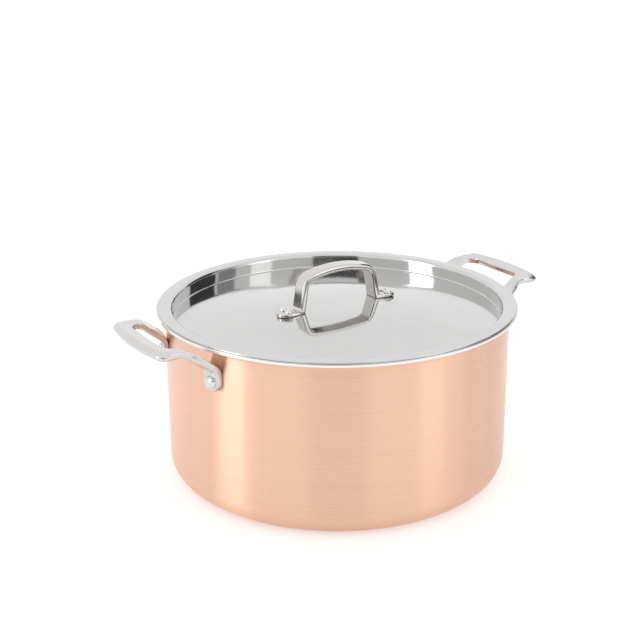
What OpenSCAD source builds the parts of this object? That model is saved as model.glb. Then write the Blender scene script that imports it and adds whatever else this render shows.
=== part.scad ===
// Two-handled stockpot of copper three-ply with a recessed, domed steel lid.
// Origin: centre of the base's resting face. +Z up, +X through the side handles.

/* [Pot] */
// Outside diameter of the straight wall
pot_od = 268; // [180:1:360]
// Height from the table to the top of the rim
pot_h = 136; // [100:1:240]
// Outside radius between the wall and the base
base_corner_r = 17; // [10:0.5:40]
// Distance of the poured-out rim's edge beyond the wall
rim_reach = 6; // [5.5:0.5:10]
// Radius of the rim's outward bend, on the copper side
rim_bend_r = 4; // [2:0.5:5]

/* [Three-ply wall] */
// Thickness of the copper outside
copper_t = 0.6; // [0.3:0.1:1.5]
// Thickness of the aluminium core
core_t = 1.5; // [0.8:0.1:3]
// Thickness of the steel lining
lining_t = 0.5; // [0.3:0.1:1]

/* [Side handles] */
// Distance of the grip's outer edge from the pot's wall
handle_reach = 42.5; // [38:0.5:60]
// Overall width of the grip
grip_len = 85; // [80:1:100]
// Width of the grip's bar at its middle, from the finger opening to the outer edge
grip_w = 14.5; // [12:0.5:20]
// Thickness of the arms and of the pads
handle_t = 4.6; // [3:0.1:7]
// Height of the arms' top above the rim
arm_rise = 1.6; // [0:0.1:6]
// Height of the grip's ridge above the arms' top
ridge_rise = 2; // [0.5:0.1:3]
// Width of the bevel along the grip's outer edge
bevel_w = 4.2; // [2:0.2:6]
// Depth of the bevel's outer edge below the arms' top
bevel_drop = 0.9; // [0.5:0.1:2]
// Inward lean of the grip's outer edge, below the bevel
edge_lean = 1.2; // [0:0.1:2]
// Width of the finger opening between the arms
opening_w = 62; // [50:1:64]
// Radius of the finger opening's corners
opening_r = 9; // [4:0.5:12]
// Radius of the grip's outer corners, in plan
grip_corner_r = 7; // [4:0.5:10]
// Narrowest outside width across the two arms
waist_w = 83; // [78:1:90]
// Radius of the waist's curve, in plan
waist_r = 30; // [20:1:60]
// Slope of the arms down to the pads, in degrees
arm_slope = 40; // [25:1:50]
// Radius of the two bends in each arm
arm_bend_r = 8; // [5:0.5:12]
// Width of each pad
pad_w = 14; // [12:0.5:15]
// Height of the rivets' centres below the rim
rivet_drop = 26; // [23:0.5:32]
// Height of the pad's flat face above a rivet's centre
pad_head = 4; // [3:0.2:8]
// Distance from a rivet's centre to the pad's lower end
pad_tail = 7.4; // [6:0.2:10]
// Radius of the pads' lower corners
pad_corner_r = 6; // [3:0.5:6]
// Distance between the two rivets of one handle
rivet_span = 78; // [76:1:84]

/* [Handle rivets] */
// Diameter of the shank
rivet_d = 6; // [4:0.5:7]
// Diameter of the domed head outside
rivet_head_d = 9.6; // [8:0.2:12]
// Height of the domed head outside
rivet_head_h = 2.8; // [1.5:0.1:4]
// Diameter of the flatter head inside the pot
rivet_tail_d = 11; // [9:0.2:13]
// Height of the flatter head inside the pot
rivet_tail_h = 1.6; // [1:0.1:2.4]
// Radial clearance of a shank in its holes
rivet_clear = 0.05; // [0.02:0.01:0.1]

/* [Lid] */
// Thickness of the lid's sheet
lid_t = 1; // [0.7:0.1:1.5]
// Gap between the lid's recess and the pot's wall
lid_clear = 2.4; // [0.8:0.1:4]
// Distance by which the lid's flange stays inside the rim's edge
flange_inset = 1.2; // [0:0.1:2]
// Radius of the bend from the flange down into the recess
recess_bend_r = 3; // [1.6:0.1:4]
// Depth from the flange's top to the edge of the floor
recess_depth = 11.6; // [8:0.2:24]
// Depth from the flange's top to the crown of the floor's dome
crown_depth = 2.5; // [0:0.1:4]
// Radius of the dome's curve
dome_r = 520; // [400:10:1200]
// Distance from the feet's tips to the dome's edge, where the floor's slope turns straight
dome_margin = 6; // [2:0.5:20]

/* [Lid handle] */
// Distance between the outsides of the legs, at the feet
arch_span = 74; // [50:1:90]
// Height of the arch's crown above the feet's top
arch_h = 30.4; // [24:0.5:45]
// Thickness of the strap
strap_t = 4.8; // [3:0.1:6]
// Width of the strap
strap_w = 13; // [10:0.5:16]
// Inward lean of the legs, in degrees
leg_lean = 10; // [4:0.5:16]
// Radius of the arch's crown
crown_r = 95; // [80:1:140]
// Outside radius of the arch's corners
arch_corner_r = 12; // [7:0.5:14]
// Radius of the bend between a leg and its foot
foot_bend_r = 2; // [1:0.5:3]
// Thickness of a foot at its rivets
foot_t = 3; // [2:0.1:4]
// Width of a foot
foot_w = 16; // [14:0.5:20]
// Length of a foot beyond the leg
foot_len = 17; // [16:0.5:24]
// Distance from the leg to the rivets' centres
lid_rivet_reach = 9; // [7.5:0.5:10]
// Distance between the two rivets of one foot
lid_rivet_span = 7.6; // [7:0.1:8]
// Diameter of the lid rivets' shank
lid_rivet_d = 4; // [3:0.5:4.5]
// Diameter of the lid rivets' heads
lid_rivet_head_d = 6.6; // [5:0.1:7]
// Height of the lid rivets' heads, above
lid_rivet_head_h = 2.2; // [1:0.1:3]
// Height of the lid rivets' heads, below
lid_rivet_tail_h = 1.2; // [0.8:0.1:2]

/* [Hidden] */
$fn = 180;
ARC_STEP = 10; // degrees between the points of a bend in an outline
FAR = 400;     // larger than the pot: reach of cutting shapes
OVER = 1;      // how far a cutting shape runs past what it cuts

// Three-ply wall
wall_t = copper_t + core_t + lining_t;
wall_r = pot_od / 2;
inner_r = wall_r - wall_t;
rim_bend_z = pot_h - rim_bend_r - wall_t;
rim_r = wall_r + rim_reach;

// Side handles: places along the radius and heights
pad_r = wall_r + handle_t;
grip_out = wall_r + handle_reach;
grip_in = grip_out - grip_w;
arm_top = pot_h + arm_rise;
rivet_z = pot_h - rivet_drop;
rivet_angle = asin(rivet_span / 2 / wall_r);
pad_top_z = rivet_z + pad_head;
pad_low_z = rivet_z - pad_tail;
// The arms' midline: up the pad, a bend to the slope, and a bend to the level part
mid_bend_r = arm_bend_r + handle_t / 2;
low_bend_x = wall_r + handle_t / 2 + mid_bend_r;
high_bend_z = arm_top - handle_t / 2 - mid_bend_r;
high_bend_x = low_bend_x + (high_bend_z - pad_top_z) / tan(arm_slope);
waist_x = high_bend_x - arm_bend_r / 2;
// Half the width across the pads' outer sides
arm_half = pad_r * sin(rivet_angle) + pad_w / 2 * cos(rivet_angle);

// Lid
flange_z = pot_h + lid_t;
plug_r = inner_r - lid_clear;
recess_r = plug_r - lid_t;
floor_z = flange_z - recess_depth;
dome_z = flange_z - crown_depth - dome_r;

// Lid handle
foot_x = arch_span / 2;
lid_rivet_x = foot_x + lid_rivet_reach;
foot_z = dome_top(lid_rivet_x) + foot_t;
foot_tip_x = foot_x + foot_len - foot_w / 2;
dome_edge_r = foot_x + foot_len + dome_margin;
foot_bend_x = foot_x + foot_bend_r * (1 - sin(leg_lean)) / cos(leg_lean);
crown_z = foot_z + arch_h - crown_r;
// The corner's centre lies a corner's radius inside the leg and inside the crown
leg_start = [foot_x - arch_corner_r * cos(leg_lean), foot_z - arch_corner_r * sin(leg_lean)];
leg_dir = [-sin(leg_lean), cos(leg_lean)];
from_crown = leg_start - [0, crown_z];
leg_run = -from_crown * leg_dir
    + sqrt(pow(from_crown * leg_dir, 2) - from_crown * from_crown + pow(crown_r - arch_corner_r, 2));
corner = leg_start + leg_run * leg_dir;
corner_angle = atan2(corner[1] - crown_z, corner[0]);

// Height of the dome's top at a distance from the axis
function dome_top(r) = dome_z + sqrt(dome_r * dome_r - r * r);

// Height of the dome's underside at a distance from the axis
function dome_under(r) = dome_z + sqrt(pow(dome_r - lid_t, 2) - r * r);

// Points of an arc about [x, y], from angle a to angle b
function arc(x, y, r, a, b) =
    let (n = ceil(abs(b - a) / ARC_STEP))
    [for (i = [0 : n]) [x + r * cos(a + (b - a) * i / n), y + r * sin(a + (b - a) * i / n)]];

// Flat ring between two radii
module ring(r_in, r_out) {
    difference() {
        circle(r_out);
        circle(r_in);
    }
}

// Half outline of a low dome that stands on y = 0, for turning
module cap(d, h) {
    r = (d * d / 4 + h * h) / (2 * h);
    intersection() {
        translate([0, h - r]) circle(r);
        square([d / 2, h]);
    }
}

// One ply of the pot, between two depths under the copper's outside
module ply(outer, inner) {
    corner_x = wall_r - base_corner_r;
    bend_x = wall_r + rim_bend_r;
    rotate_extrude() {
        translate([0, outer]) square([corner_x, inner - outer]);
        translate([corner_x, base_corner_r])
            intersection() {
                ring(base_corner_r - inner, base_corner_r - outer);
                translate([0, -FAR]) square(FAR);
            }
        translate([wall_r - inner, base_corner_r])
            square([inner - outer, rim_bend_z - base_corner_r]);
        translate([bend_x, rim_bend_z])
            intersection() {
                ring(rim_bend_r + outer, rim_bend_r + inner);
                translate([-FAR, 0]) square(FAR);
            }
        translate([bend_x, rim_bend_z + rim_bend_r + outer])
            square([rim_r - bend_x, inner - outer]);
    }
}

// Puts its children at a handle rivet, with +Z outwards from the pot's axis.
// side is 1 on the right and -1 on the left, end is -1 at the front and 1 at the back.
module at_handle_rivet(side, end) {
    rotate((side > 0 ? 0 : 180) + side * end * rivet_angle)
        translate([0, 0, rivet_z])
            rotate([0, 90, 0])
                children();
}

// Holes for all the handle rivets, through the wall and the pads
module handle_rivet_holes() {
    for (side = [-1, 1], end = [-1, 1])
        at_handle_rivet(side, end)
            translate([0, 0, inner_r - OVER])
                cylinder(h = pad_r - inner_r + 2 * OVER, r = rivet_d / 2 + rivet_clear);
}

module copper_shell() {
    color([0.91, 0.67, 0.54])
        difference() {
            ply(0, copper_t);
            handle_rivet_holes();
        }
}

module aluminium_core() {
    color([0.78, 0.79, 0.8])
        difference() {
            ply(copper_t, copper_t + core_t);
            handle_rivet_holes();
        }
}

module steel_lining() {
    color([0.86, 0.86, 0.87])
        difference() {
            ply(copper_t + core_t, wall_t);
            handle_rivet_holes();
        }
}

// The handle's section, turned about the pot's axis: up the pads, out along the slope,
// level out to the grip, over its ridge and down the outer bevel
module handle_band() {
    outer_bend_r = mid_bend_r + handle_t / 2;
    inner_bend_r = mid_bend_r - handle_t / 2;
    turn = 90 + arm_slope;
    rotate_extrude()
        polygon(concat(
            [[wall_r, pad_low_z - OVER]],
            arc(low_bend_x, pad_top_z, outer_bend_r, 180, turn),
            arc(high_bend_x, high_bend_z, outer_bend_r, turn, 90),
            [[grip_in, arm_top],
             [grip_out - bevel_w, arm_top + ridge_rise],
             [grip_out, arm_top - bevel_drop],
             [grip_out - edge_lean, arm_top - handle_t]],
            arc(high_bend_x, high_bend_z, inner_bend_r, 90, turn),
            arc(low_bend_x, pad_top_z, inner_bend_r, turn, 180),
            [[pad_r, pad_low_z - OVER]]
        ));
}

// The loop seen from above. Its outer edge is left to the band, so it runs on past the grip.
module loop_outline() {
    corner_y = grip_len / 2 - grip_corner_r;
    corner_x = sqrt(pow(grip_out - grip_corner_r, 2) - corner_y * corner_y);
    reach = FAR / corner_x;
    difference() {
        union() {
            translate([0, -arm_half]) square([waist_x, 2 * arm_half]);
            translate([0, -grip_len / 2]) square([corner_x, grip_len]);
            polygon([[0, 0], [corner_x, -corner_y] * reach, [corner_x, corner_y] * reach]);
            for (end = [-1, 1])
                translate([corner_x, end * corner_y]) circle(grip_corner_r);
        }
        for (end = [-1, 1])
            translate([waist_x, end * (waist_w / 2 + waist_r)]) circle(waist_r);
        translate([0, -opening_w / 2]) square([grip_in - opening_r, opening_w]);
        translate([0, opening_r - opening_w / 2])
            square([grip_in, opening_w - 2 * opening_r]);
        for (end = [-1, 1])
            translate([grip_in - opening_r, end * (opening_w / 2 - opening_r)])
                circle(opening_r);
    }
}

// A pad's outline on the pot's wall, about its rivet
module pad_outline() {
    half = pad_w / 2;
    translate([-pad_head, -half])
        square([pad_head + pad_tail - pad_corner_r, pad_w]);
    translate([-pad_head, pad_corner_r - half])
        square([pad_head + pad_tail, pad_w - 2 * pad_corner_r]);
    for (end = [-1, 1])
        translate([pad_tail - pad_corner_r, end * (half - pad_corner_r)])
            circle(pad_corner_r);
}

// A side handle, standing out along +X
module side_handle() {
    difference() {
        intersection() {
            handle_band();
            union() {
                translate([0, 0, pad_top_z])
                    linear_extrude(FAR)
                        loop_outline();
                for (end = [-1, 1])
                    at_handle_rivet(1, end)
                        linear_extrude(FAR)
                            pad_outline();
            }
        }
        handle_rivet_holes();
    }
}

module right_handle() {
    color([0.84, 0.84, 0.83])
        side_handle();
}

module left_handle() {
    color([0.84, 0.84, 0.83])
        rotate(180)
            side_handle();
}

// A handle rivet: a domed head on the pad, a shank and a flatter head inside the pot
module handle_rivet(side, end) {
    tail_seat = sqrt(inner_r * inner_r - rivet_tail_d * rivet_tail_d / 4) - rivet_clear;
    color([0.88, 0.88, 0.88])
        at_handle_rivet(side, end)
            rotate_extrude() {
                translate([0, tail_seat - rivet_clear])
                    square([rivet_d / 2, pad_r - tail_seat + 2 * rivet_clear]);
                translate([0, pad_r]) cap(rivet_head_d, rivet_head_h);
                translate([0, tail_seat])
                    mirror([0, 1])
                        cap(rivet_tail_d, rivet_tail_h);
            }
}

module left_handle_front_rivet() { handle_rivet(-1, -1); }
module left_handle_back_rivet() { handle_rivet(-1, 1); }
module right_handle_front_rivet() { handle_rivet(1, -1); }
module right_handle_back_rivet() { handle_rivet(1, 1); }

// Puts its children on the axis of a lid rivet, at the lid handle's foot
module at_lid_rivet(side, end) {
    translate([side * lid_rivet_x, end * lid_rivet_span / 2, foot_z])
        children();
}

// Holes for the lid rivets, through the floor and the feet
module lid_rivet_holes() {
    for (side = [-1, 1], end = [-1, 1])
        at_lid_rivet(side, end)
            translate([0, 0, -foot_t - lid_t - OVER])
                cylinder(h = foot_t + lid_t + 2 * OVER, r = lid_rivet_d / 2 + rivet_clear);
}

// The lid: a flange, a recess wall and a sloping floor with a domed middle, all one sheet
module lid_pan() {
    flange_r = rim_r - flange_inset;
    bend_x = recess_r + recess_bend_r;
    bend_z = flange_z - recess_bend_r;
    color([0.8, 0.8, 0.81])
        difference() {
            rotate_extrude() {
                polygon(concat(
                    [[flange_r, flange_z]],
                    arc(bend_x, bend_z, recess_bend_r, 90, 180),
                    [[recess_r, floor_z],
                     [dome_edge_r, dome_top(dome_edge_r)],
                     [dome_edge_r, dome_under(dome_edge_r)],
                     [recess_r, floor_z - lid_t],
                     [plug_r, floor_z - lid_t]],
                    arc(bend_x, bend_z, recess_bend_r - lid_t, 180, 90),
                    [[flange_r, pot_h]]
                ));
                intersection() {
                    translate([0, dome_z]) ring(dome_r - lid_t, dome_r);
                    translate([0, floor_z - lid_t]) square([dome_edge_r, FAR]);
                }
            }
            lid_rivet_holes();
        }
}

// Half outline of the lid handle's strap, from a foot's top to the crown
module strap_outline() {
    polygon(concat(
        [[foot_bend_x, floor_z]],
        arc(foot_bend_x, foot_z + foot_bend_r, foot_bend_r, 270, 180 + leg_lean),
        arc(corner[0], corner[1], arch_corner_r, leg_lean, corner_angle),
        arc(0, crown_z, crown_r, corner_angle, 90),
        arc(0, crown_z, crown_r - strap_t, 90, corner_angle),
        arc(corner[0], corner[1], arch_corner_r - strap_t, corner_angle, leg_lean),
        [[foot_x - strap_t / cos(leg_lean), foot_z],
         [foot_x - strap_t / cos(leg_lean), floor_z]]
    ));
}

// A foot of the lid handle, seen from above
module foot_outline() {
    translate([foot_x - strap_t, -foot_w / 2])
        square([foot_tip_x - foot_x + strap_t, foot_w]);
    translate([foot_tip_x, 0]) circle(foot_w / 2);
}

// The lid handle: an arched strap on two feet that sit on the dome
module lid_handle() {
    color([0.82, 0.8, 0.78])
        difference() {
            for (side = [0, 1])
                mirror([side, 0, 0]) {
                    rotate([90, 0, 0])
                        linear_extrude(strap_w, center = true)
                            strap_outline();
                    translate([0, 0, floor_z])
                        linear_extrude(foot_z - floor_z)
                            foot_outline();
                }
            translate([0, 0, dome_z]) sphere(dome_r);
            lid_rivet_holes();
        }
}

// A lid rivet: a domed head on the foot, a shank and a low head under the floor
module lid_rivet(side, end) {
    far_r = norm([lid_rivet_x + lid_rivet_head_d / 2, lid_rivet_span / 2 + lid_rivet_head_d / 2]);
    tail_z = dome_under(far_r) - foot_z;
    color([0.88, 0.88, 0.88])
        at_lid_rivet(side, end)
            rotate_extrude() {
                translate([0, tail_z - rivet_clear])
                    square([lid_rivet_d / 2, 2 * rivet_clear - tail_z]);
                cap(lid_rivet_head_d, lid_rivet_head_h);
                translate([0, tail_z])
                    mirror([0, 1])
                        cap(lid_rivet_head_d, lid_rivet_tail_h);
            }
}

module lid_left_front_rivet() { lid_rivet(-1, -1); }
module lid_left_back_rivet() { lid_rivet(-1, 1); }
module lid_right_front_rivet() { lid_rivet(1, -1); }
module lid_right_back_rivet() { lid_rivet(1, 1); }

copper_shell();
aluminium_core();
steel_lining();
left_handle();
right_handle();
left_handle_front_rivet();
left_handle_back_rivet();
right_handle_front_rivet();
right_handle_back_rivet();
lid_pan();
lid_handle();
lid_left_front_rivet();
lid_left_back_rivet();
lid_right_front_rivet();
lid_right_back_rivet();
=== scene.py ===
"""Looks of the two-handled copper stockpot: spun plies, forged handles, rivets and a polished lid."""

import math

import bmesh
import bpy
import numpy as np
from mathutils import Matrix, Vector


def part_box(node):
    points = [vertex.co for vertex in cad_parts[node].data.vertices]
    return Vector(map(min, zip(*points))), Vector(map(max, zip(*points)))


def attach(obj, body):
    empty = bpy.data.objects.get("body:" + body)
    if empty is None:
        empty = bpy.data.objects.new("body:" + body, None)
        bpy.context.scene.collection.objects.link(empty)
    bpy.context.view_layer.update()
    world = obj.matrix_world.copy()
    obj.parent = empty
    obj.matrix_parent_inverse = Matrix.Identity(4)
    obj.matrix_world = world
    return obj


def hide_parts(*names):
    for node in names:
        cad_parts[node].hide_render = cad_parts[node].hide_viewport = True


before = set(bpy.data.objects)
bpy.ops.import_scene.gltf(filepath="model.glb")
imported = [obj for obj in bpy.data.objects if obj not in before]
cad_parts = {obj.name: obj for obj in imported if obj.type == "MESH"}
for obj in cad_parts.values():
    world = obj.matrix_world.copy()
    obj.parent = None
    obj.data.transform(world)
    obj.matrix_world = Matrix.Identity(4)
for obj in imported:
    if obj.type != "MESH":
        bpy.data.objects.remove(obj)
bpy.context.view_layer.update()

MM = 0.001
TURNS = 288  # facets round a spun piece

# Sizes in mm, as in the part's source
RIM_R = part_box("copper_shell")[1].x / MM
RIM_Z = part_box("steel_lining")[1].z / MM
COPPER_T, CORE_T, LINING_T = 0.6, 1.5, 0.5
WALL_T = COPPER_T + CORE_T + LINING_T
WALL_R = 134.0
BASE_CORNER_R = 17.0
RIM_BEND_R = 4.0
FLANGE_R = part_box("lid_pan")[1].x / MM
FLANGE_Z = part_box("lid_pan")[1].z / MM
LID_T = 1.0
RECESS_R, RECESS_BEND_R = 128.0, 3.0
RECESS_DEPTH, CROWN_DEPTH = 11.6, 2.5
FLOOR_Z = FLANGE_Z - RECESS_DEPTH
DOME_R, DOME_EDGE_R = 520.0, 70.0
DOME_Z = FLANGE_Z - CROWN_DEPTH - DOME_R


# ---------------------------------------------------------------- mesh helpers


def make_piece(name, points, faces, normals=None):
    """A smooth mesh piece from points in mm. Given normals, one per point, it shades with those."""
    mesh = bpy.data.meshes.new(name)
    mesh.from_pydata([tuple(p) for p in np.asarray(points, float) * MM], [], faces)
    mesh.polygons.foreach_set("use_smooth", [True] * len(mesh.polygons))
    mesh.update()
    if normals is not None:
        mesh.normals_split_custom_set_from_vertices([tuple(n) for n in normals])
    piece = bpy.data.objects.new(name, mesh)
    bpy.context.scene.collection.objects.link(piece)
    return piece


def arc(x, y, r, a, b, steps):
    """Points on an arc about (x, y), from angle a to angle b in degrees."""
    return [
        (x + r * math.cos(t), y + r * math.sin(t))
        for t in np.radians(np.linspace(a, b, steps + 1))
    ]


def rounded(corners, steps=6):
    """A line through (x, y, radius) corners, each turned with its own radius."""
    line = [corners[0][:2]]
    for before, corner, after in zip(corners, corners[1:], corners[2:]):
        if corner[2] == 0:
            line.append(corner[:2])
            continue
        p = Vector(corner[:2])
        back = (Vector(before[:2]) - p).normalized()
        on = (Vector(after[:2]) - p).normalized()
        half = back.angle(on) / 2
        centre = p + (back + on).normalized() * corner[2] / math.sin(half)
        cut = corner[2] / math.tan(half)
        start, end = p + back * cut - centre, p + on * cut - centre
        turn = start.angle(end)
        for k in range(steps + 1):
            share = k / steps
            spoke = start * math.sin((1 - share) * turn) + end * math.sin(share * turn)
            line.append(tuple(centre + spoke / math.sin(turn)))
    line.append(corners[-1][:2])
    return line


def spin(name, outline):
    """Spins a line of (radius, height) points about the upright axis. The line starts and ends on
    the axis or closes on itself, and it goes up the outside and down the inside."""
    line = np.array(outline, float)
    closed = line[0, 0] > 0
    if closed:
        chord = np.roll(line, -1, 0) - np.roll(line, 1, 0)
    else:
        chord = np.gradient(line, axis=0)
        chord[[0, -1], 1] = 0
    chord /= np.linalg.norm(chord, axis=1)[:, None]
    angles = np.arange(TURNS) * 2 * math.pi / TURNS
    points, normals, rings = [], [], []
    for (r, z), (along_r, along_z) in zip(line, chord):
        around = angles if r > 0 else angles[:1]
        rings.append(range(len(points), len(points) + len(around)))
        for t in around:
            points.append((r * math.cos(t), r * math.sin(t), z))
            normals.append((along_z * math.cos(t), along_z * math.sin(t), -along_r))
    faces = []
    for low, high in zip(rings, rings[1:] + rings[:1] if closed else rings[1:]):
        for k in range(TURNS):
            k_on = (k + 1) % TURNS
            corners = [low[k % len(low)], low[k_on % len(low)]]
            corners += [high[k_on % len(high)], high[k % len(high)]]
            faces.append(tuple(dict.fromkeys(corners)))
    return make_piece(name, points, faces, normals)


def forge(name, sides, ends, across, top_at, low_at, edges):
    """A flat bar bent to shape. sides are its two long edges and ends its two short ones, as flat
    points; across gives each row's shares from the first side to the second; top_at and low_at put
    flat points on the two faces; edges are (inset, depth, from_top) rings, from the top face down.
    """
    first, second = (np.array(s, float) for s in sides)
    start, stop = (np.array(e, float) for e in ends)
    rows, columns = len(first), len(start)
    loop = np.concatenate([first, stop[1:-1], second[::-1], start[-2:0:-1]])
    chord = np.roll(loop, -1, 0) - np.roll(loop, 1, 0)
    inward = np.stack([-chord[:, 1], chord[:, 0]], 1)
    inward /= np.linalg.norm(inward, axis=1)[:, None]
    x, y = loop.T
    if np.sum(x * np.roll(y, -1) - y * np.roll(x, -1)) < 0:
        inward = -inward

    def face_grid(inset):
        rim = loop + inward * inset
        grid = np.zeros((rows, columns, 2))
        a, b = rim[:rows], rim[rows + columns - 2 : 2 * rows + columns - 2][::-1]
        for i in range(rows):
            grid[i] = a[i] + np.outer(across(i), b[i] - a[i])
        grid[-1, 1:-1] = rim[rows : rows + columns - 2]
        grid[0, 1:-1] = rim[2 * rows + columns - 2 :][::-1]
        return grid

    def between(flat, depth, from_top):
        top, low = top_at(flat), low_at(flat)
        down = low - top
        thickness = np.linalg.norm(down, axis=1)[:, None]
        share = depth / thickness if from_top else 1 - depth / thickness
        return top + down * share

    top_grid = face_grid(edges[0][0]).reshape(-1, 2)
    low_grid = face_grid(edges[-1][0]).reshape(-1, 2)
    points = [between(top_grid, *edges[0][1:]), between(low_grid, *edges[-1][1:])]
    for inset, depth, from_top in edges[1:-1]:
        points.append(between(loop + inward * inset, depth, from_top))

    def rim_of(base):
        at = lambda i, j: base + i * columns + j
        line = [at(i, 0) for i in range(rows)]
        line += [at(rows - 1, j) for j in range(1, columns - 1)]
        line += [at(i, columns - 1) for i in reversed(range(rows))]
        return line + [at(0, j) for j in range(columns - 2, 0, -1)]

    faces = []
    size = rows * columns
    for base in (0, size):
        for i in range(rows - 1):
            for j in range(columns - 1):
                k = base + i * columns + j
                faces.append((k, k + 1, k + columns + 1, k + columns))
    rings = [rim_of(0)]
    for n in range(len(edges) - 2):
        begin = 2 * size + n * len(loop)
        rings.append(range(begin, begin + len(loop)))
    rings.append(rim_of(size))
    for upper, lower in zip(rings, rings[1:]):
        for k in range(len(loop)):
            k_on = (k + 1) % len(loop)
            faces.append((upper[k], upper[k_on], lower[k_on], lower[k]))
    piece = make_piece(name, np.concatenate(points), faces)
    tidy = bmesh.new()
    tidy.from_mesh(piece.data)
    bmesh.ops.recalc_face_normals(tidy, faces=tidy.faces)
    tidy.to_mesh(piece.data)
    tidy.free()
    return piece


def quarter_round(radius, steps=4):
    """Edge rings of a rounded corner, from the face to the side."""
    turn = [math.pi / 2 * k / steps for k in range(steps + 1)]
    return [(radius * (1 - math.sin(t)), radius * (1 - math.cos(t))) for t in turn]


# ---------------------------------------------------------------- the pot's three plies


def ply_outline(outer, inner, low_edge, high_edge):
    """Closed section of one ply between two depths under the copper's outside. The rim's edge is
    rounded below and above by the two given radii."""
    corner_x = WALL_R - BASE_CORNER_R
    bend_x = WALL_R + RIM_BEND_R
    bend_z = RIM_Z - WALL_T - RIM_BEND_R
    lip_low, lip_high = RIM_Z - WALL_T + outer, RIM_Z - WALL_T + inner
    return (
        [(0, outer), (40, outer), (90, outer)]
        + arc(corner_x, BASE_CORNER_R, BASE_CORNER_R - outer, -90, 0, 24)
        + [(WALL_R - outer, z) for z in np.linspace(30, bend_z - 6, 8)]
        + arc(bend_x, bend_z, RIM_BEND_R + outer, 180, 90, 12)
        + rounded([(bend_x + 0.2, lip_low, 0), (RIM_R, lip_low, low_edge),
                   (RIM_R, lip_high, high_edge), (bend_x + 0.2, lip_high, 0)], 4)
        + arc(bend_x, bend_z, RIM_BEND_R + inner, 90, 180, 12)
        + [(WALL_R - inner, z) for z in np.linspace(bend_z - 6, 30, 8)]
        + arc(corner_x, BASE_CORNER_R, BASE_CORNER_R - inner, 0, -90, 24)
        + [(90, inner), (40, inner), (0, inner)]
    )


# ---------------------------------------------------------------- the side handles

HANDLE_T = 4.6
ARM_TOP = RIM_Z + 1.6
GRIP_OUT = 176.5
GRIP_W = 14.5
GRIP_IN = GRIP_OUT - GRIP_W
GRIP_HALF, GRIP_CORNER_R = 42.5, 7.0
CORNER_Y = GRIP_HALF - GRIP_CORNER_R
CORNER_X = math.sqrt((GRIP_OUT - GRIP_CORNER_R) ** 2 - CORNER_Y**2)
OPENING_HALF, OPENING_R = 31.0, 9.0
RIDGE_RISE, BEVEL_W, BEVEL_DROP, EDGE_LEAN = 2.0, 4.2, 0.9, 1.2
BEVEL_BLEND, RIDGE_END_FALL = 0.004, 0.35
TOP_EDGE_R, LOW_EDGE_R = 0.9, 1.1
ARM_SLOPE = math.radians(40)
MID_BEND_R = 8.0 + HANDLE_T / 2
PAD_INNER, PAD_OUTER, PAD_CORNER_R = 32.3, 45.7, 6.0
RIVET_Z, RIVET_SPAN = RIM_Z - 26.0, 78.0
PAD_TOP_Z, PAD_LOW_Z = RIVET_Z + 4.0, RIVET_Z - 7.4
LOW_BEND_X = WALL_R + HANDLE_T / 2 + MID_BEND_R
HIGH_BEND_Z = ARM_TOP - HANDLE_T / 2 - MID_BEND_R
HIGH_BEND_X = LOW_BEND_X + (HIGH_BEND_Z - PAD_TOP_Z) / math.tan(ARM_SLOPE)
# Places along the arm's middle, measured so that the level part's place is its radius
LEVEL_AT = HIGH_BEND_X
HIGH_BEND_AT = LEVEL_AT - MID_BEND_R * ARM_SLOPE
LOW_BEND_AT = HIGH_BEND_AT - (HIGH_BEND_X - LOW_BEND_X) / math.cos(ARM_SLOPE)
PAD_AT = LOW_BEND_AT - MID_BEND_R * (math.pi / 2 - ARM_SLOPE)
PAD_END_AT = PAD_AT - (PAD_TOP_Z - PAD_LOW_Z)
PAD_CORNER_AT = PAD_END_AT + PAD_CORNER_R


def arm_line(along, lift):
    """Radius and height of points along the arm, lifted off its middle towards the top face."""
    turn = np.where(
        along > HIGH_BEND_AT,
        np.maximum(LEVEL_AT - along, 0) / MID_BEND_R,
        np.minimum(ARM_SLOPE + np.maximum(LOW_BEND_AT - along, 0) / MID_BEND_R, math.pi / 2),
    )
    spoke = MID_BEND_R + lift
    on_slope = np.clip(along, LOW_BEND_AT, HIGH_BEND_AT) - LOW_BEND_AT
    low = along <= HIGH_BEND_AT
    x = np.where(low, LOW_BEND_X + on_slope * math.cos(ARM_SLOPE), HIGH_BEND_X)
    z = np.where(low, PAD_TOP_Z + on_slope * math.sin(ARM_SLOPE), HIGH_BEND_Z)
    radius = x - spoke * np.sin(turn) + np.maximum(along - LEVEL_AT, 0)
    height = z + spoke * np.cos(turn) - np.maximum(PAD_AT - along, 0)
    return radius, height


ALONG_TABLE = np.linspace(PAD_AT, GRIP_OUT + 40, 900)
RADIUS_TABLE = arm_line(ALONG_TABLE, 0)[0]


def flat_of(plan):
    """Flat points of points seen from above."""
    x, y = np.array(plan, float).T
    return np.stack([np.interp(np.hypot(x, y), RADIUS_TABLE, ALONG_TABLE), y], 1)


def arm_edge(places, widths, at):
    """A smooth edge through (place, width) points."""
    slopes = np.gradient(widths, places)
    out = []
    for a in at:
        k = int(np.clip(np.searchsorted(places, a) - 1, 0, len(places) - 2))
        step = places[k + 1] - places[k]
        t = (a - places[k]) / step
        out.append(
            widths[k] * (1 + 2 * t) * (1 - t) ** 2
            + slopes[k] * step * t * (1 - t) ** 2
            + widths[k + 1] * t * t * (3 - 2 * t)
            + slopes[k + 1] * step * t * t * (t - 1)
        )
    return np.stack([at, out], 1)


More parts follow.
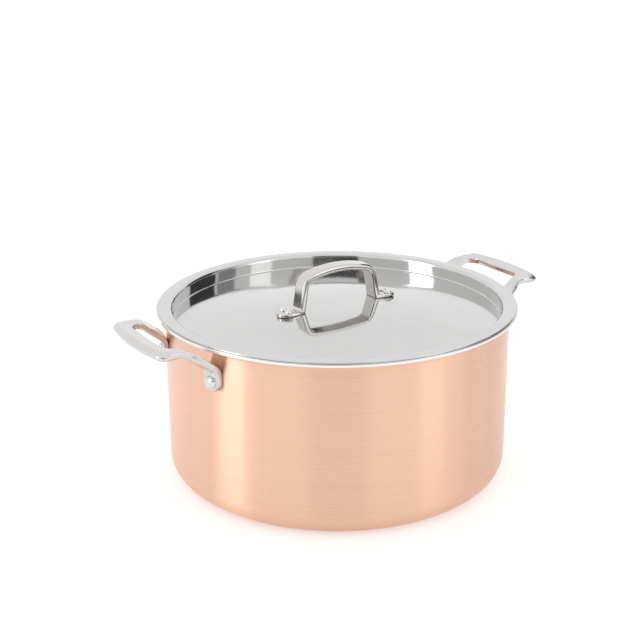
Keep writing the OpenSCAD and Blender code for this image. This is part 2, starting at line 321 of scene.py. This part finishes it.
def grip_lift(radius, y):
    """Height of the grip's ridge and bevel over the arms' top."""
    x, y = np.sqrt(radius**2 - y**2), np.abs(y)
    ridge = RIDGE_RISE * np.clip((radius - GRIP_IN) / (GRIP_W - BEVEL_W), 0, 1)
    from_corner = GRIP_CORNER_R - np.hypot(np.maximum(x - CORNER_X, 0), np.maximum(y - CORNER_Y, 0))
    inset = np.where(y * CORNER_X > x * CORNER_Y, from_corner, GRIP_OUT - radius)
    share = 1 - inset / BEVEL_W
    bevel = (share + np.sqrt(share**2 + BEVEL_BLEND)) / 2
    fade = np.clip((x - GRIP_IN + 2) / 7, 0, 1)
    ends = 1 - RIDGE_END_FALL * np.clip((y - 26) / 16, 0, 1) ** 2
    return ridge * ends - (RIDGE_RISE + BEVEL_DROP) * bevel * fade * fade * (3 - 2 * fade)


def side_handle(name, side):
    """One side handle, its two arms running down to the riveted pads."""

    def place(radius, height, y):
        return np.stack([side * np.sqrt(radius**2 - y**2), side * y, height], 1)

    def top_at(flat):
        radius, height = arm_line(flat[:, 0], HANDLE_T / 2)
        return place(radius, height + grip_lift(radius, flat[:, 1]), flat[:, 1])

    def low_at(flat):
        radius, height = arm_line(flat[:, 0], -HANDLE_T / 2)
        lean = EDGE_LEAN * np.clip((radius - GRIP_OUT + 5) / 5, 0, 1) * (np.abs(flat[:, 1]) < 60)
        return place(radius - lean, height, flat[:, 1])

    outer_end = flat_of([(CORNER_X, GRIP_HALF)])[0, 0]
    open_x, open_y = GRIP_IN - OPENING_R, OPENING_HALF - OPENING_R
    inner_end = flat_of([(open_x, OPENING_HALF)])[0, 0]
    # The arm's half widths at places along it: full at the pad, a waist, then the grip's corner
    outer_knots = [PAD_CORNER_AT, PAD_AT, 133, 141, 147, 150, 154, 158, 161, 165, 168, outer_end]
    outer_widths = [PAD_OUTER, PAD_OUTER, 46.4, 46.6, 45.7, 44.6, 42.8, 41.8, 41.5, 41.8, 42.2, GRIP_HALF]
    inner_knots = [PAD_CORNER_AT, PAD_AT, PAD_AT + 6, 138, 146, 156.2]
    inner_widths = [PAD_INNER, PAD_INNER, 31.7, 31.2, OPENING_HALF, OPENING_HALF]
    arm_steps, columns = 58, 19
    corner_turn = math.degrees(math.atan2(CORNER_Y, CORNER_X))
    pad_outer_y, pad_inner_y = PAD_OUTER - PAD_CORNER_R, PAD_INNER + PAD_CORNER_R
    outer_half = np.concatenate([
        arc(PAD_CORNER_AT, pad_outer_y, PAD_CORNER_R, 135, 90, 5)[:-1],
        arm_edge(outer_knots, outer_widths, np.linspace(PAD_CORNER_AT, outer_end, arm_steps))[:-1],
        flat_of(arc(CORNER_X, CORNER_Y, GRIP_CORNER_R, 90, corner_turn, 12)),
        flat_of(arc(0, 0, GRIP_OUT, corner_turn, 0, 19)[1:]),
    ])
    inner_half = np.concatenate([
        arc(PAD_CORNER_AT, pad_inner_y, PAD_CORNER_R, 225, 270, 5)[:-1],
        arm_edge(inner_knots, inner_widths, np.linspace(PAD_CORNER_AT, inner_end, arm_steps))[:-1],
        flat_of(arc(open_x, open_y, OPENING_R, 90, 0, 18)),
        flat_of([(GRIP_IN, y) for y in np.linspace(open_y, 0, 14)[1:]]),
    ])
    outline = arc(PAD_CORNER_AT, pad_outer_y, PAD_CORNER_R, 135, 180, 8)
    outline += arc(PAD_CORNER_AT, pad_inner_y, PAD_CORNER_R, 180, 225, 8)
    lengths = np.r_[0, np.cumsum(np.linalg.norm(np.diff(outline, axis=0), axis=1))]
    even = np.linspace(0, lengths[-1], columns)
    end = np.stack([np.interp(even, lengths, [p[k] for p in outline]) for k in (0, 1)], 1)

    def whole(half):
        return np.concatenate([half, half[-2::-1] * (1, -1)])

    outer, inner = whole(outer_half), whole(inner_half)
    widths = np.linalg.norm(outer - inner, axis=1)

    def across(row):
        """Even shares at the pads, and shares gathered on the bevel along the grip."""
        near = min(row, len(outer) - 1 - row)
        fixed = np.array([0, 0.9, 1.8, 2.5, 3.0, 3.4, 3.8, 4.4, 5.4]) / widths[row]
        spread = np.r_[fixed, np.linspace(fixed[-1], 1, columns - len(fixed) + 1)[1:]]
        plain = np.linspace(0, 1, columns)
        share = min(max((near - 8) / 30, 0), 1)
        return plain + (spread - plain) * share

    round_top = [(i, d, True) for i, d in quarter_round(TOP_EDGE_R)]
    round_low = [(i, d, False) for i, d in quarter_round(LOW_EDGE_R)][::-1]
    return forge(name, (outer, inner), (end, end * (1, -1)), across, top_at, low_at,
                 round_top + round_low)


# ---------------------------------------------------------------- the lid's sheet


def dome_top(radius):
    return DOME_Z + np.sqrt(DOME_R**2 - np.asarray(radius, float) ** 2)


def lid_outline():
    """Section of the lid: the underside out to the flange, and back over the top to the crown.
    The floor's dome turns smoothly into a hollow slope, which ends at the foot of the wall."""
    edge = Vector((DOME_EDGE_R, float(dome_top(DOME_EDGE_R))))
    upright = (edge - Vector((0, DOME_Z))) / DOME_R
    fall = edge - Vector((RECESS_R, FLOOR_Z))
    hollow_r = -fall.length_squared / (2 * fall.dot(upright))
    centre = edge + upright * hollow_r
    slope = [(r, centre.y - math.sqrt(hollow_r**2 - (r - centre.x) ** 2))
             for r in np.linspace(DOME_EDGE_R, RECESS_R - 3, 16)]
    floor = [(r, float(dome_top(r))) for r in np.linspace(0, DOME_EDGE_R - 4, 18)] + slope
    below = [(r, z - LID_T, 0) for r, z in floor]
    below += [
        (RECESS_R + LID_T, FLOOR_Z - LID_T, 1.2),
        (RECESS_R + LID_T, FLANGE_Z - LID_T, RECESS_BEND_R - LID_T),
        (FLANGE_R, FLANGE_Z - LID_T, 0.35),
        (FLANGE_R, FLANGE_Z, 0.45),
        (RECESS_R, FLANGE_Z, RECESS_BEND_R),
        (RECESS_R, FLOOR_Z, 0.9),
    ]
    return rounded(below + [(r, z, 0) for r, z in floor[::-1]], 9)


# ---------------------------------------------------------------- the lid's handle

ARCH_HALF, ARCH_H = 37.0, 30.4
STRAP_T, STRAP_HALF = 4.8, 6.5
LEG_LEAN = math.radians(10)
CROWN_R, ARCH_CORNER_R, FOOT_BEND_R = 95.0, 12.0, 2.0
FOOT_T, FOOT_HALF = 3.0, 8.0
NARROWS_FROM, NARROWS_OVER = 12.5, 5.5  # where the foot's width runs out into the strap's
FOOT_TIP_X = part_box("lid_handle")[1].x / MM
LID_RIVET_X, LID_RIVET_SPAN = ARCH_HALF + 9.0, 7.6
FOOT_Z = float(dome_top(LID_RIVET_X)) + FOOT_T


def strap_lines():
    """Top and underside of half the strap, from a foot's tip to the crown, point for point. An
    underside point with no height lies on the lid's dome."""
    lean = math.degrees(LEG_LEAN)
    crown_z = FOOT_Z + ARCH_H - CROWN_R
    leg = Vector((-math.sin(LEG_LEAN), math.cos(LEG_LEAN)))
    out = Vector((math.cos(LEG_LEAN), math.sin(LEG_LEAN)))
    off = Vector((ARCH_HALF, FOOT_Z - crown_z)) - ARCH_CORNER_R * out
    run = -off.dot(leg) + math.sqrt(off.dot(leg) ** 2 - off.dot(off) + (CROWN_R - ARCH_CORNER_R) ** 2)
    corner = Vector((ARCH_HALF, FOOT_Z)) - ARCH_CORNER_R * out + run * leg
    corner_turn = math.degrees(math.atan2(corner.y - crown_z, corner.x))
    bend_x = ARCH_HALF + FOOT_BEND_R * (1 - math.sin(LEG_LEAN)) / math.cos(LEG_LEAN)
    inner_x = ARCH_HALF - STRAP_T / math.cos(LEG_LEAN)
    foot = np.linspace(FOOT_TIP_X, bend_x + 0.5, 26)
    top = [(x, FOOT_Z) for x in foot]
    low = [(x, None) for x in np.linspace(FOOT_TIP_X, inner_x + 2.2, 26)]
    top += arc(bend_x, FOOT_Z + FOOT_BEND_R, FOOT_BEND_R, 270, 180 + lean, 7)
    low += [(x, None) for x in (inner_x + 1.5, inner_x + 1.0, inner_x + 0.6)]
    heel_z = float(dome_top(inner_x))
    heel = ((0.3, 0.12), (0.12, 0.3), (0.04, 0.6), (0, 1.0), (-0.1, 1.6))
    low += [(inner_x + x, heel_z + z) for x, z in heel]
    leg_top = corner + ARCH_CORNER_R * out
    leg_low = leg_top - STRAP_T * out
    for line, end in ((top, leg_top), (low, leg_low)):
        begin = Vector(line[-1])
        line += [tuple(begin.lerp(end, k / 16)) for k in range(1, 16)]
    top += arc(corner.x, corner.y, ARCH_CORNER_R, lean, corner_turn, 16)
    low += arc(corner.x, corner.y, ARCH_CORNER_R - STRAP_T, lean, corner_turn, 16)
    top += arc(0, crown_z, CROWN_R, corner_turn, 90, 24)[1:]
    low += arc(0, crown_z, CROWN_R - STRAP_T, corner_turn, 90, 24)[1:]
    return top, low


def lid_strap(name):
    """The arched strap with its two feet, which lie on the dome."""
    top_half, low_half = strap_lines()
    mirror = lambda line: line + [(-x, z) for x, z in line[-2::-1]]
    top, low = mirror(top_half), mirror(low_half)
    top_line = np.array(top)
    low_x = np.array([x for x, z in low])
    low_z = np.array([float(dome_top(x)) if z is None else z for x, z in low])
    on_foot = np.array([float(z is None) for x, z in low])
    along = np.r_[0, np.cumsum(np.linalg.norm(np.diff(top_line, axis=0), axis=1))]
    length = along[-1]

    def top_at(flat):
        s, y = flat.T
        x = np.interp(s, along, top_line[:, 0]) + np.minimum(s, 0) * -1 - np.maximum(s - length, 0)
        return np.stack([x, y, np.interp(s, along, top_line[:, 1])], 1)

    def low_at(flat):
        s, y = flat.T
        x = np.interp(s, along, low_x)
        z = np.interp(s, along, low_z)
        seated = np.interp(s, along, on_foot) > 0.999
        return np.stack([x, y, np.where(seated, dome_top(np.hypot(x, y)), z)], 1)

    # Half width along the strap: a round tongue at each end, and a narrower strap between them
    corner_at = FOOT_HALF * (1 - math.cos(math.pi / 4))
    keep = [i for i, s in enumerate(along[: len(top_half)]) if s > FOOT_HALF]
    places = [FOOT_HALF * (1 - math.sin(t)) for t in np.linspace(math.pi / 4, 0, 7)]
    widths = [FOOT_HALF * math.cos(t) for t in np.linspace(math.pi / 4, 0, 7)]
    for i in keep:
        t = min(max((along[i] - NARROWS_FROM) / NARROWS_OVER, 0), 1)
        places.append(along[i])
        widths.append(FOOT_HALF + (STRAP_HALF - FOOT_HALF) * t * t * (3 - 2 * t))
    places[0] = corner_at
    half = np.stack([places, widths], 1)
    back = half[-2::-1].copy()
    back[:, 0] = length - back[:, 0]
    side = np.concatenate([half, back])
    columns = 15
    tongue = arc(FOOT_HALF, 0, FOOT_HALF, 135, 225, columns - 1)
    end = np.array(tongue)
    far = end.copy()
    far[:, 0] = length - far[:, 0]
    even = np.linspace(0, 1, columns)
    edges = [(1.25, 0, True), (1.05, 0.08, True), (0.25, 0.85, True), (0.08, 1.1, True), (0, 1.4, True)]
    edges += [(0, 1.15, False), (0.08, 0.9, False), (0.75, 0.12, False), (0.95, 0, False)]
    return forge(name, (side, side * (1, -1)), (end, far), lambda row: even, top_at, low_at, edges)


# ---------------------------------------------------------------- rivets, by Geometry Nodes


def rivet_tree():
    """Puts a rivet on each point of the input mesh, its head outwards along the point's axis."""
    tree = bpy.data.node_groups.new("rivets_on_seats", "GeometryNodeTree")
    tree.interface.new_socket("Geometry", in_out="INPUT", socket_type="NodeSocketGeometry")
    for label in ("Head diameter", "Head height", "Shank diameter", "Shank length",
                  "Tail diameter", "Tail height"):
        tree.interface.new_socket(label, in_out="INPUT", socket_type="NodeSocketFloat")
    tree.interface.new_socket("Finish", in_out="INPUT", socket_type="NodeSocketMaterial")
    tree.interface.new_socket("Geometry", in_out="OUTPUT", socket_type="NodeSocketGeometry")
    nodes, links = tree.nodes, tree.links
    given = nodes.new("NodeGroupInput")
    result = nodes.new("NodeGroupOutput")

    def math_node(operation, a, b=None):
        node = nodes.new("ShaderNodeMath")
        node.operation = operation
        for socket, value in zip(node.inputs, (a, b)):
            if isinstance(value, (int, float)):
                socket.default_value = value
            elif value is not None:
                links.new(value, socket)
        return node.outputs[0]

    def vector(x, y, z):
        node = nodes.new("ShaderNodeCombineXYZ")
        for socket, value in zip(node.inputs, (x, y, z)):
            if isinstance(value, (int, float)):
                socket.default_value = value
            else:
                links.new(value, socket)
        return node.outputs[0]

    def button(diameter, height, sign, lift):
        """A low dome on a flat seat, standing up or hanging down."""
        ball = nodes.new("GeometryNodeMeshUVSphere")
        ball.inputs["Segments"].default_value = 48
        ball.inputs["Rings"].default_value = 32
        ball.inputs["Radius"].default_value = 1
        place = nodes.new("GeometryNodeInputPosition")
        split = nodes.new("ShaderNodeSeparateXYZ")
        links.new(place.outputs[0], split.inputs[0])
        radius = math_node("MULTIPLY", diameter, 0.5)
        up = math_node("MAXIMUM", split.outputs["Z"], 0.0)
        z = math_node("MULTIPLY", math_node("MULTIPLY", up, height), sign)
        spot = vector(
            math_node("MULTIPLY", split.outputs["X"], radius),
            math_node("MULTIPLY", split.outputs["Y"], radius),
            math_node("ADD", z, lift),
        )
        move = nodes.new("GeometryNodeSetPosition")
        links.new(ball.outputs["Mesh"], move.inputs["Geometry"])
        links.new(spot, move.inputs["Position"])
        return move.outputs[0]

    size = given.outputs
    down = math_node("MULTIPLY", size["Shank length"], -1.0)
    shank = nodes.new("GeometryNodeMeshCylinder")
    shank.inputs["Vertices"].default_value = 32
    links.new(math_node("MULTIPLY", size["Shank diameter"], 0.5), shank.inputs["Radius"])
    links.new(size["Shank length"], shank.inputs["Depth"])
    sink = nodes.new("GeometryNodeTransform")
    links.new(shank.outputs["Mesh"], sink.inputs["Geometry"])
    links.new(vector(0, 0, math_node("MULTIPLY", down, 0.5)), sink.inputs["Translation"])
    join = nodes.new("GeometryNodeJoinGeometry")
    links.new(button(size["Head diameter"], size["Head height"], 1.0, 0.0), join.inputs[0])
    links.new(sink.outputs[0], join.inputs[0])
    tail = button(size["Tail diameter"], size["Tail height"], -1.0, down)
    flip = nodes.new("GeometryNodeFlipFaces")
    links.new(tail, flip.inputs[0])
    links.new(flip.outputs[0], join.inputs[0])
    seats = nodes.new("GeometryNodeMeshToPoints")
    links.new(size["Geometry"], seats.inputs["Mesh"])
    axis = nodes.new("GeometryNodeInputNamedAttribute")
    axis.data_type = "FLOAT_VECTOR"
    axis.inputs["Name"].default_value = "rivet_axis"
    turn = nodes.new("FunctionNodeAlignRotationToVector")
    turn.axis = "Z"
    links.new(axis.outputs["Attribute"], turn.inputs["Vector"])
    put = nodes.new("GeometryNodeInstanceOnPoints")
    links.new(seats.outputs[0], put.inputs["Points"])
    links.new(join.outputs[0], put.inputs["Instance"])
    links.new(turn.outputs[0], put.inputs["Rotation"])
    real = nodes.new("GeometryNodeRealizeInstances")
    smooth = nodes.new("GeometryNodeSetShadeSmooth")
    finish = nodes.new("GeometryNodeSetMaterial")
    links.new(put.outputs[0], real.inputs[0])
    links.new(real.outputs[0], smooth.inputs[0])
    links.new(smooth.outputs[0], finish.inputs["Geometry"])
    links.new(size["Finish"], finish.inputs["Material"])
    links.new(finish.outputs[0], result.inputs[0])
    return tree


def rivets(name, tree, seats, axes, finish, **sizes):
    """Plain mesh of the rivets on the given seats, in mm, with their axes."""
    host = make_piece(name + "_seats", seats, [])
    spots = host.data.attributes.new("rivet_axis", "FLOAT_VECTOR", "POINT")
    spots.data.foreach_set("vector", np.array(axes, np.float32).ravel())
    modifier = host.modifiers.new("rivets", "NODES")
    modifier.node_group = tree
    keys = {item.name: item.identifier for item in tree.interface.items_tree if item.in_out == "INPUT"}
    for label, value in sizes.items():
        modifier[keys[label.replace("_", " ").capitalize()]] = value * MM
    modifier[keys["Finish"]] = finish
    host.data.update()
    shown = host.evaluated_get(bpy.context.evaluated_depsgraph_get())
    mesh = bpy.data.meshes.new_from_object(shown)
    bpy.data.objects.remove(host)
    piece = bpy.data.objects.new(name, mesh)
    bpy.context.scene.collection.objects.link(piece)
    return piece


# ---------------------------------------------------------------- finishes


class Finish:
    """A metal finish, with the node steps that the finishes share."""

    def __init__(self, name, colour, roughness, anisotropic=0.0):
        self.material = bpy.data.materials.new(name)
        self.material.use_nodes = True
        self.nodes = self.material.node_tree.nodes
        self.links = self.material.node_tree.links
        self.shader = self.nodes["Principled BSDF"]
        self.shader.inputs["Base Color"].default_value = (*colour, 1)
        self.shader.inputs["Metallic"].default_value = 1
        self.shader.inputs["Roughness"].default_value = roughness
        self.shader.inputs["Anisotropic"].default_value = anisotropic
        if anisotropic:
            tangent = self.nodes.new("ShaderNodeTangent")
            tangent.direction_type = "RADIAL"
            tangent.axis = "Z"
            # A quarter turn draws reflections out across the marks, which run round the axis
            self.shader.inputs["Anisotropic Rotation"].default_value = 0.25
            self.links.new(tangent.outputs[0], self.shader.inputs["Tangent"])

    def maths(self, operation, a, b):
        node = self.nodes.new("ShaderNodeMath")
        node.operation = operation
        for socket, value in zip(node.inputs, (a, b)):
            if isinstance(value, (int, float)):
                socket.default_value = value
            else:
                self.links.new(value, socket)
        return node.outputs[0]

    def spun_marks(self, slow, fast, detail=3.0):
        """Noise drawn out round the axis, as polishing on a lathe leaves it."""
        place = self.nodes.new("ShaderNodeTexCoord")
        split = self.nodes.new("ShaderNodeSeparateXYZ")
        self.links.new(place.outputs["Object"], split.inputs[0])
        x, y, z = split.outputs
        squares = self.maths("ADD", self.maths("MULTIPLY", x, x), self.maths("MULTIPLY", y, y))
        step = self.maths("ADD", z, self.maths("SQRT", squares, 0))
        joined = self.nodes.new("ShaderNodeCombineXYZ")
        self.links.new(self.maths("MULTIPLY", x, slow), joined.inputs[0])
        self.links.new(self.maths("MULTIPLY", y, slow), joined.inputs[1])
        self.links.new(self.maths("MULTIPLY", step, fast), joined.inputs[2])
        return self.noise(joined.outputs[0], 1.0, detail)

    def noise(self, where, scale, detail=2.0):
        node = self.nodes.new("ShaderNodeTexNoise")
        node.inputs["Scale"].default_value = scale
        node.inputs["Detail"].default_value = detail
        if where is None:
            where = self.nodes.new("ShaderNodeTexCoord").outputs["Object"]
        self.links.new(where, node.inputs["Vector"])
        return node.outputs["Fac"]

    def between(self, value, low, high, source=(0.3, 0.7)):
        node = self.nodes.new("ShaderNodeMapRange")
        for key, number in zip(("From Min", "From Max", "To Min", "To Max"), (*source, low, high)):
            node.inputs[key].default_value = number
        self.links.new(value, node.inputs["Value"])
        return node.outputs["Result"]

    def shades(self, value, *stops):
        ramp = self.nodes.new("ShaderNodeValToRGB")
        elements = ramp.color_ramp.elements
        while len(elements) < len(stops):
            elements.new(0.5)
        for element, (at, colour) in zip(elements, stops):
            element.position = at
            element.color = (*colour, 1)
        self.links.new(value, ramp.inputs[0])
        return ramp.outputs[0]

    def colour_from(self, colour):
        self.links.new(colour, self.shader.inputs["Base Color"])

    def roughness_from(self, value):
        self.links.new(value, self.shader.inputs["Roughness"])

    def bump_from(self, *heights, strength=0.2, distance=0.0001):
        normal = None
        for height in heights:
            bump = self.nodes.new("ShaderNodeBump")
            bump.inputs["Strength"].default_value = strength
            bump.inputs["Distance"].default_value = distance
            self.links.new(height, bump.inputs["Height"])
            if normal is not None:
                self.links.new(normal, bump.inputs["Normal"])
            normal = bump.outputs[0]
        self.links.new(normal, self.shader.inputs["Normal"])


def brushed_copper():
    """Satin copper, brushed round the pot, with slow changes of tone."""
    finish = Finish("brushed_copper", (0.815, 0.52, 0.39), 0.29, 1.0)
    fine = finish.spun_marks(4, 5200)
    broad = finish.spun_marks(5, 700, 4)
    darker, lighter = (0.807, 0.512, 0.382), (0.823, 0.528, 0.398)
    finish.colour_from(finish.shades(broad, (0.3, darker), (0.7, lighter)))
    finish.roughness_from(finish.between(fine, 0.26, 0.32))
    finish.bump_from(fine, strength=0.07, distance=0.00003)
    return finish.material


def bare_aluminium():
    """The core's cut edge, turned bright."""
    finish = Finish("turned_aluminium_edge", (0.8, 0.8, 0.8), 0.28)
    marks = finish.spun_marks(8, 5000)
    finish.roughness_from(finish.between(marks, 0.22, 0.34))
    finish.bump_from(marks, strength=0.1, distance=0.00003)
    return finish.material


def lining_steel():
    """The cooking surface: steel brushed round."""
    finish = Finish("brushed_lining_steel", (0.66, 0.65, 0.635), 0.36, 0.9)
    fine = finish.spun_marks(6, 2400)
    broad = finish.spun_marks(10, 120, 4)
    darker, lighter = (0.62, 0.61, 0.595), (0.7, 0.69, 0.675)
    finish.colour_from(finish.shades(broad, (0.3, darker), (0.7, lighter)))
    finish.roughness_from(finish.between(fine, 0.32, 0.4))
    finish.bump_from(fine, strength=0.15, distance=0.00004)
    return finish.material


def cast_steel():
    """The side handles: tumbled cast steel, in patches of slightly lighter and darker tone."""
    finish = Finish("tumbled_cast_steel", (0.61, 0.6, 0.59), 0.2)
    grain = finish.noise(None, 1400, 3)
    patches = finish.noise(None, 60, 3)
    darker, lighter = (0.585, 0.575, 0.565), (0.635, 0.625, 0.612)
    finish.colour_from(finish.shades(patches, (0.3, darker), (0.7, lighter)))
    finish.roughness_from(finish.between(patches, 0.17, 0.25))
    finish.bump_from(grain, strength=0.12, distance=0.00006)
    return finish.material


def polished_lid_steel():
    """Mirror-polished sheet with the faintest lathe marks."""
    finish = Finish("polished_lid_steel", (0.585, 0.582, 0.577), 0.07)
    marks = finish.spun_marks(5, 1800, 2)
    haze = finish.noise(None, 35, 3)
    darker, lighter = (0.576, 0.573, 0.568), (0.598, 0.595, 0.59)
    finish.colour_from(finish.shades(haze, (0.3, darker), (0.7, lighter)))
    finish.roughness_from(finish.between(marks, 0.05, 0.1))
    return finish.material


def polished_strap_steel():
    """The lid's handle: buffed steel, slightly warm."""
    finish = Finish("buffed_strap_steel", (0.6, 0.58, 0.555), 0.12)
    grain = finish.noise(None, 900, 2)
    patches = finish.noise(None, 80, 3)
    darker, lighter = (0.58, 0.56, 0.535), (0.625, 0.605, 0.58)
    finish.colour_from(finish.shades(patches, (0.3, darker), (0.7, lighter)))
    finish.roughness_from(finish.between(patches, 0.09, 0.15))
    finish.bump_from(grain, strength=0.04, distance=0.00003)
    return finish.material


def rivet_steel():
    """Rivets: bright steel, with a faint fine grain."""
    finish = Finish("bright_rivet_steel", (0.68, 0.68, 0.675), 0.15)
    grain = finish.noise(None, 700, 2)
    finish.roughness_from(finish.between(grain, 0.1, 0.2))
    finish.bump_from(grain, strength=0.05, distance=0.00004)
    return finish.material


# ---------------------------------------------------------------- building the object


def fit_out(piece, body, slot, material, *nodes):
    """Gives a piece its finish, its body and the nodes it stands for. The slot argument is not used."""
    if material is not None:
        piece.data.materials.clear()
        piece.data.materials.append(material)
    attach(piece, body)
    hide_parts(*nodes)
    return piece


fit_out(spin("copper_outside", ply_outline(0, COPPER_T, 0.3, 0.05)), "pot", "copper",
        brushed_copper(), "copper_shell")
fit_out(spin("aluminium_layer", ply_outline(COPPER_T, COPPER_T + CORE_T, 0.05, 0.05)), "pot",
        "aluminium_core", bare_aluminium(), "aluminium_core")
fit_out(spin("steel_inside", ply_outline(COPPER_T + CORE_T, WALL_T, 0.05, 0.4)), "pot",
        "steel_lining", lining_steel(), "steel_lining")
cast = cast_steel()
fit_out(side_handle("right_side_handle", 1), "pot", "cast_handle", cast, "right_handle")
fit_out(side_handle("left_side_handle", -1), "pot", "cast_handle", cast, "left_handle")
fit_out(spin("lid_sheet", lid_outline()), "lid", "polished_lid", polished_lid_steel(), "lid_pan")
fit_out(lid_strap("lid_strap_handle"), "lid", "lid_handle", polished_strap_steel(), "lid_handle")

tree = rivet_tree()
bright = rivet_steel()
corners_of_four = [(side, end) for side in (1, -1) for end in (1, -1)]
rivet_turn = math.asin(RIVET_SPAN / 2 / WALL_R)
pad_r = WALL_R + HANDLE_T
axes = [(side * math.cos(rivet_turn), end * math.sin(rivet_turn), 0) for side, end in corners_of_four]
pad_seats = [(x * pad_r, y * pad_r, RIVET_Z) for x, y, z in axes]
pot_rivets = rivets(
    "handle_rivets", tree, pad_seats, axes, bright,
    head_diameter=9.6, head_height=2.8, shank_diameter=6.0, shank_length=HANDLE_T + WALL_T + 0.15,
    tail_diameter=11.0, tail_height=1.6)
fit_out(pot_rivets, "pot", "rivets", None, "left_handle_front_rivet", "left_handle_back_rivet",
        "right_handle_front_rivet", "right_handle_back_rivet")
foot_seats = [(side * LID_RIVET_X, end * LID_RIVET_SPAN / 2, FOOT_Z) for side, end in corners_of_four]
lid_rivets = rivets(
    "lid_rivets", tree, foot_seats, [(0, 0, 1)] * 4, bright,
    head_diameter=6.6, head_height=2.2, shank_diameter=4.0, shank_length=FOOT_T + LID_T + 0.85,
    tail_diameter=6.6, tail_height=1.2)
fit_out(lid_rivets, "lid", "rivets", None, "lid_left_front_rivet", "lid_left_back_rivet",
        "lid_right_front_rivet", "lid_right_back_rivet")


# ---------------------------------------------------------------- studio


def studio_paint(name, shade, glow):
    """A matt grey paint that also gives off a little light of its own."""
    material = bpy.data.materials.new(name)
    material.use_nodes = True
    shader = material.node_tree.nodes["Principled BSDF"]
    shader.inputs["Base Color"].default_value = (shade, shade, shade, 1)
    shader.inputs["Specular IOR Level"].default_value = 0
    shader.inputs["Emission Color"].default_value = (1, 1, 1, 1)
    shader.inputs["Emission Strength"].default_value = glow
    return material


VIEW_HEADING = math.radians(-32.4)
LOOK_DOWN, VIEW_ROLL = math.radians(19.07), math.radians(-0.34)
CAMERA_PLACE = (-0.4866, -0.7422, 0.4265)


def card(name, bearing, distance, low, high, width, glow):
    """A studio card that shows only in reflections. Its bearing is from the pot, 0 towards the
    camera and positive to the camera's right, and it faces the pot between two heights."""
    turn = VIEW_HEADING + math.radians(bearing)
    centre = Vector((math.sin(turn), -math.cos(turn), 0)) * distance
    across = Vector((math.cos(turn), math.sin(turn), 0)) * width / 2
    corners = [centre - across + Vector((0, 0, low)), centre + across + Vector((0, 0, low)),
               centre + across + Vector((0, 0, high)), centre - across + Vector((0, 0, high))]
    mesh = bpy.data.meshes.new(name)
    mesh.from_pydata([tuple(c) for c in corners], [], [(0, 1, 2, 3)])
    mesh.materials.append(studio_paint(name + "_paint", 0, glow))
    plane = bpy.data.objects.new(name, mesh)
    bpy.context.scene.collection.objects.link(plane)
    plane.visible_camera = plane.visible_diffuse = plane.visible_shadow = False


world = bpy.data.worlds.new("studio")
bpy.context.scene.world = world
world.use_nodes = True
world.node_tree.nodes["Background"].inputs["Color"].default_value = (1, 1, 1, 1)
world.node_tree.nodes["Background"].inputs["Strength"].default_value = 1.1

floor_mesh = bpy.data.meshes.new("studio_floor")
floor_mesh.from_pydata([(-15, -15, 0), (15, -15, 0), (15, 15, 0), (-15, 15, 0)], [], [(0, 1, 2, 3)])
floor_mesh.materials.append(studio_paint("white_floor", 0.7, 0.42))
floor = bpy.data.objects.new("studio_floor", floor_mesh)
bpy.context.scene.collection.objects.link(floor)

card("left_softbox", -69, 1.6, 0.0, 1.6, 0.56, 4.0)
card("right_softbox", 60, 1.6, 0.0, 1.6, 0.5, 1.9)
card("right_flag", 92, 1.6, 0.0, 1.6, 0.5, 0.45)
card("far_right_flag", 120, 1.6, 0.0, 1.6, 0.95, 0.08)
card("camera_side_flag", 0, 1.4, 0.3, 1.4, 0.9, 0.12)

camera = bpy.data.cameras.new("studio_camera")
camera.lens = 67.2
camera.sensor_width = 36
camera_object = bpy.data.objects.new("studio_camera", camera)
bpy.context.scene.collection.objects.link(camera_object)
aim = Matrix.Rotation(VIEW_HEADING, 4, "Z")
aim = aim @ Matrix.Rotation(math.pi / 2 - LOOK_DOWN, 4, "X")
aim = aim @ Matrix.Rotation(VIEW_ROLL, 4, "Z")
camera_object.matrix_world = Matrix.Translation(CAMERA_PLACE) @ aim
bpy.context.scene.camera = camera_object
bpy.context.scene.view_settings.view_transform = "Standard"
